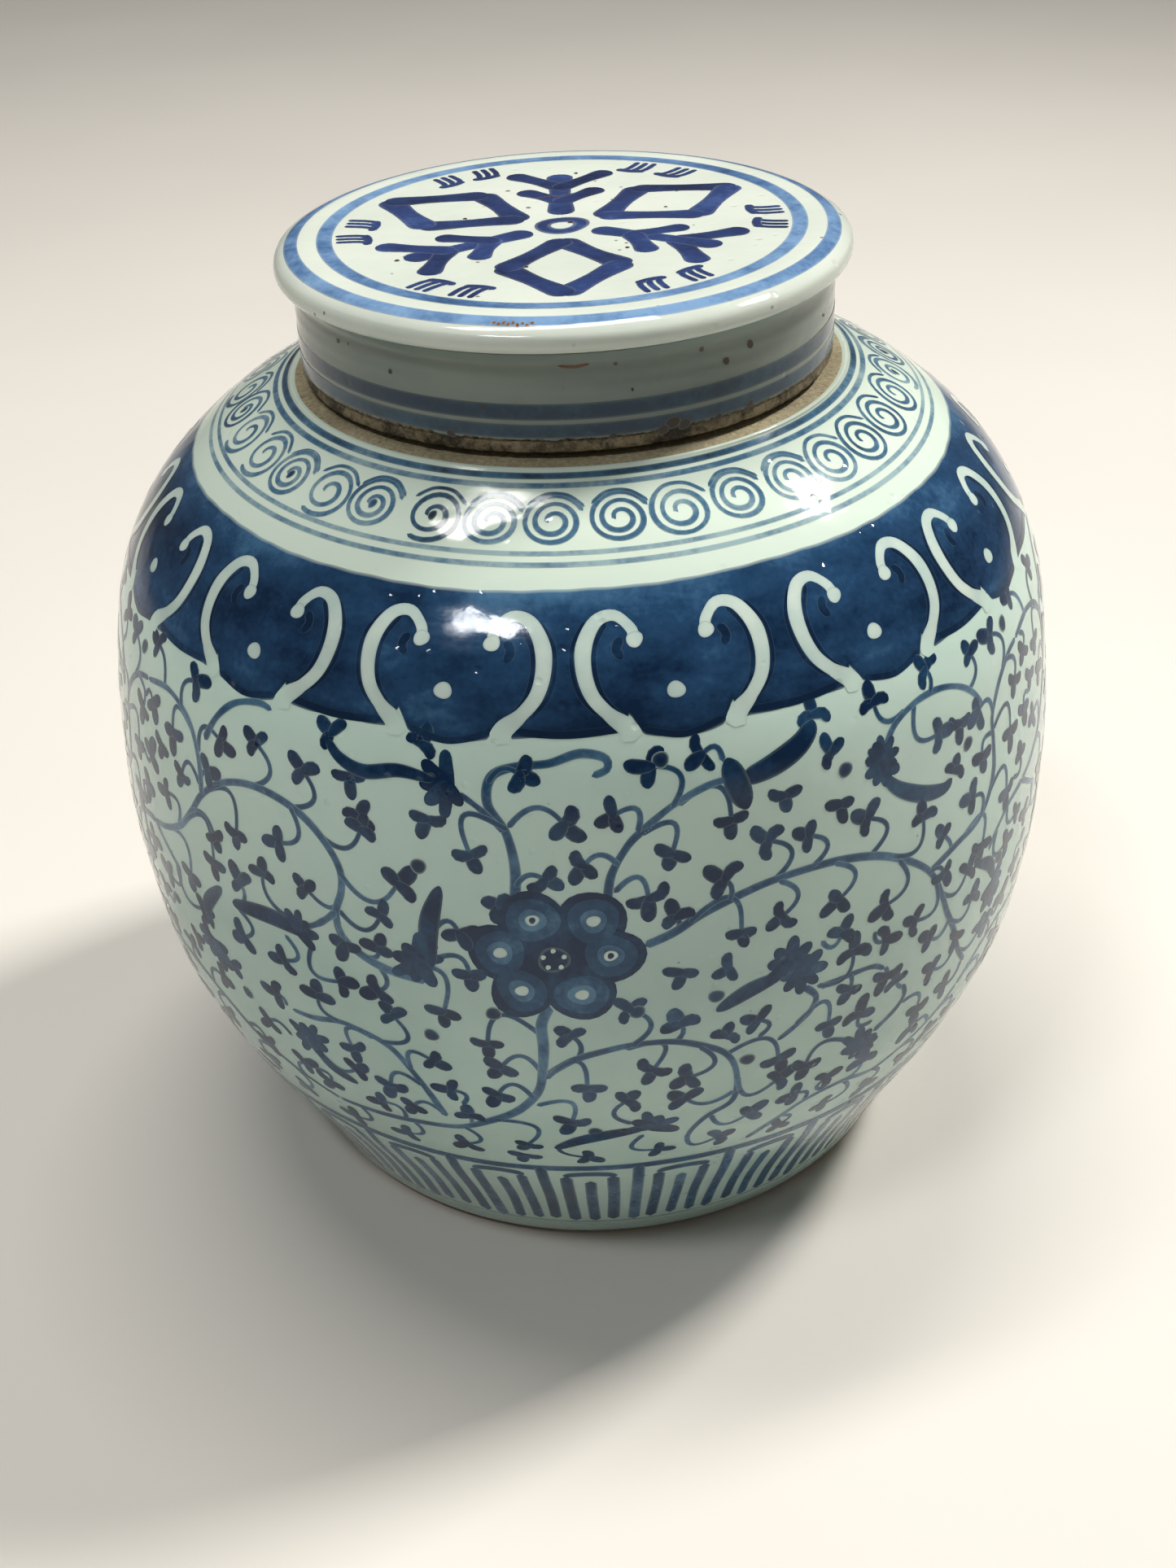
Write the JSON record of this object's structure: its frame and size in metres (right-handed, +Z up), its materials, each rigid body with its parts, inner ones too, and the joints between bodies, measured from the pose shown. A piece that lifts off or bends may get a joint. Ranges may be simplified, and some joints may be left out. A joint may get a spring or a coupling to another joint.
{
  "type": "lidded ginger jar",
  "caption": "Round-bellied porcelain storage jar on a low foot, with a short neck and a flat flanged lid that lifts straight off.",
  "frame": {"origin": "centre of the foot ring's standing face, on the table plane", "axes": "+Z up along the jar's axis of revolution, towards the lid; -Y is the face with the flower, towards the viewer; +X to the viewer's right"},
  "size_m": [0.234, 0.234, 0.234],
  "materials": {
    "painted_glaze": "cobalt painting under a glossy pale celadon glaze",
    "lid_glaze": "glossy off-white glaze with cobalt lines",
    "inner_glaze": "thin glossy pale celadon glaze",
    "biscuit": "unglazed fired clay, gritty, stained brown"
  },
  "bodies": {
    "jar": {"foot_ring": "biscuit", "base": "inner_glaze", "lower_body": "painted_glaze", "upper_body": "painted_glaze", "seam_band": "inner_glaze", "neck": "biscuit"},
    "lid": {"lid_rim": "biscuit", "lid_skirt": "lid_glaze", "lid_top": "lid_glaze"}
  },
  "joints": [
    {"name": "lid_lift", "type": "slide", "parent": "jar", "child": "lid", "axis": [0, 0, 1], "range_m": [0, 0.09]}
  ]
}
